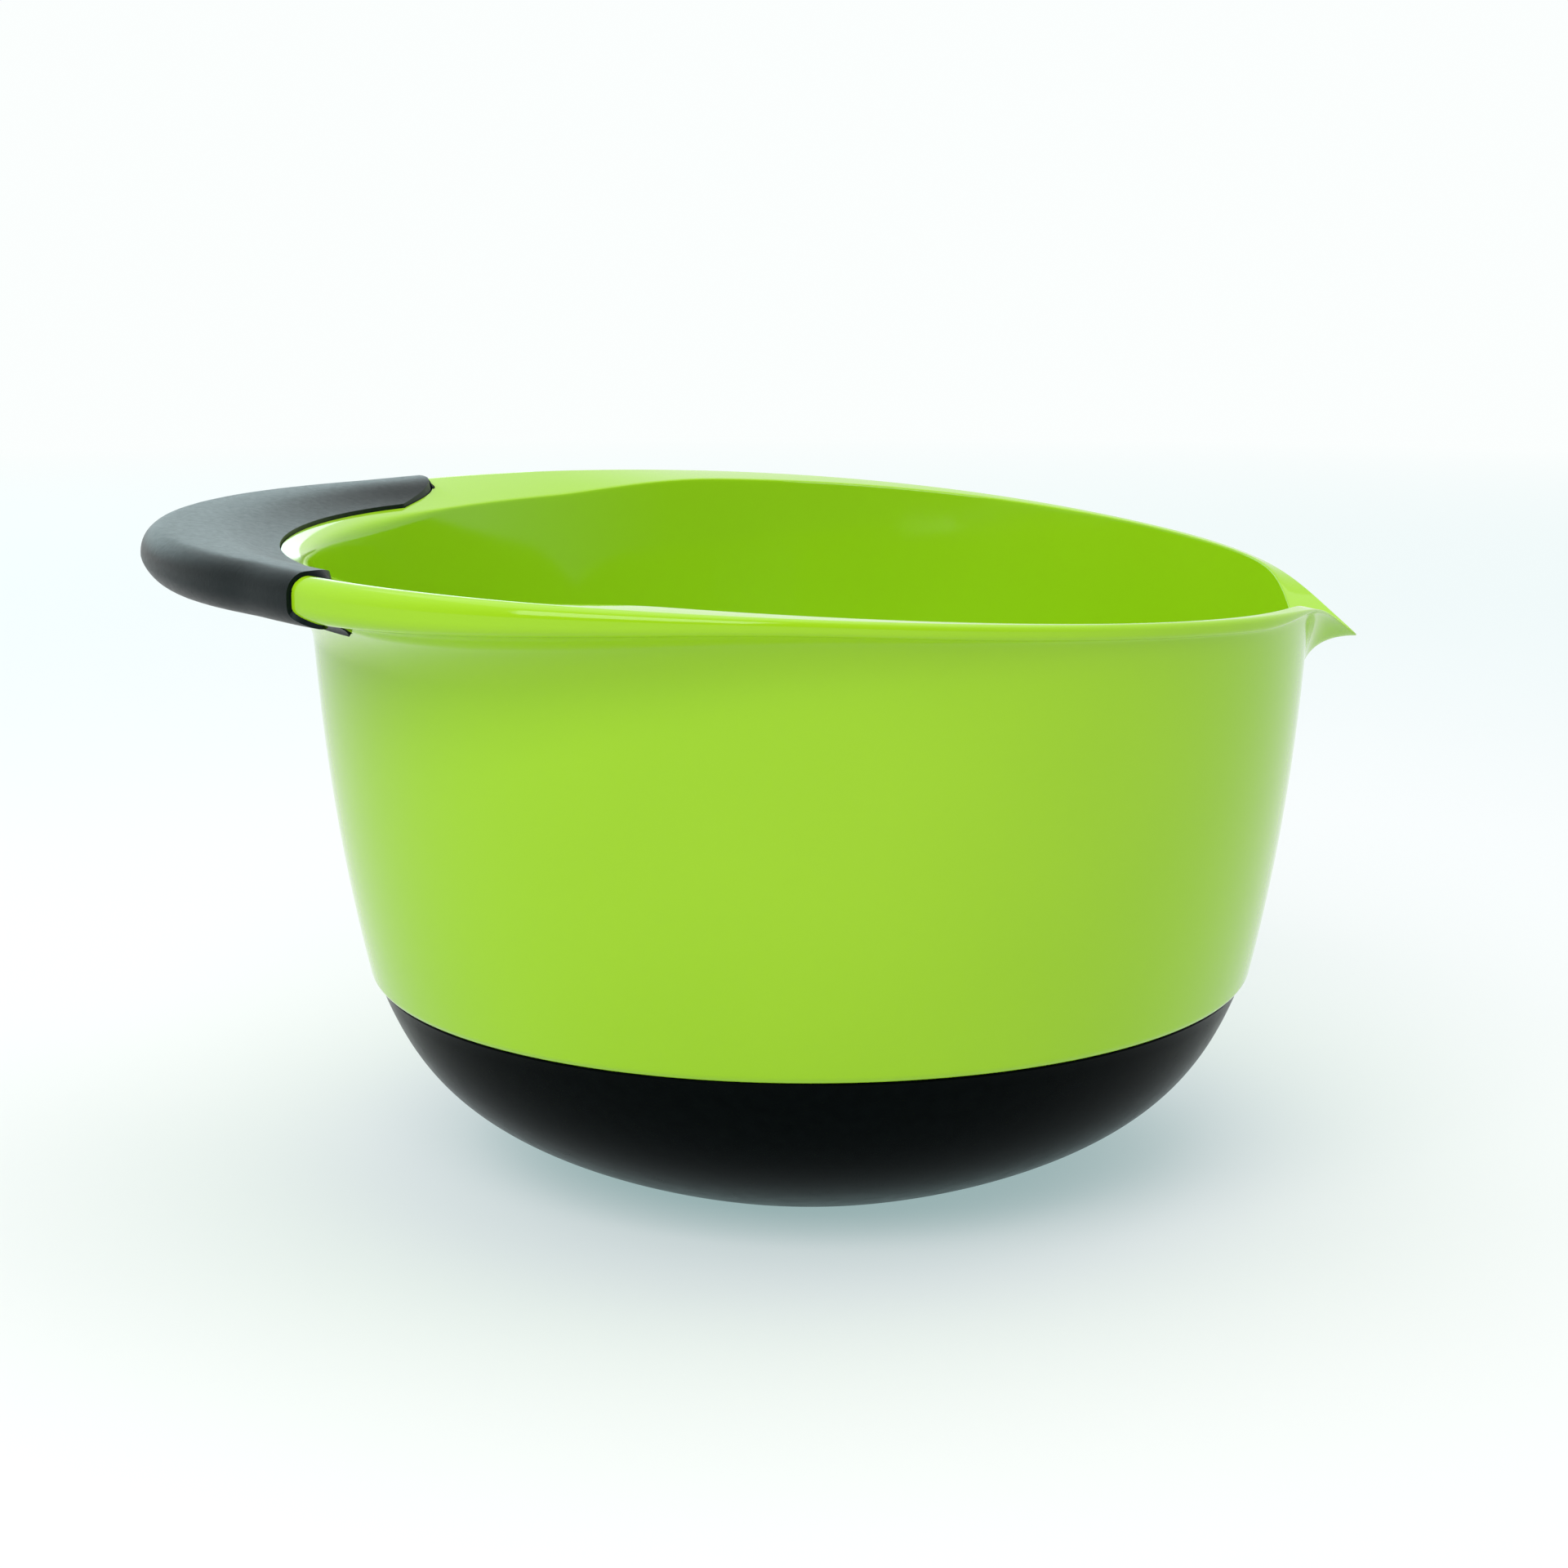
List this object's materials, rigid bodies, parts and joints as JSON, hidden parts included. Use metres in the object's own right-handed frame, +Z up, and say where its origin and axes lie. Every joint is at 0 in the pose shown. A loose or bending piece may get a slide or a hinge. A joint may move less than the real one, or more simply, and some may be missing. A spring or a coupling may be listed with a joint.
{
  "type": "mixing bowl",
  "caption": "Deep moulded mixing bowl with a pouring spout, a crescent handle wrapped in a soft grip, and a soft non-slip cap over its rounded base.",
  "frame": {"origin": "centre of the flat foot, on the bowl's own axis", "axes": "+X to the pouring spout, -X to the handle, +Z up along the bowl's axis; symmetric about the XZ plane"},
  "size_m": [0.3047, 0.2732, 0.164],
  "materials": {
    "green_plastic": "polished moulded plastic, apple green",
    "grip_rubber": "fine matt grain, black soft-touch elastomer",
    "base_rubber": "smooth satin, black soft-touch elastomer"
  },
  "bodies": {
    "root": {"bowl_shell": "green_plastic", "handle_grip": "grip_rubber", "base_cap": "base_rubber"}
  },
  "joints": []
}
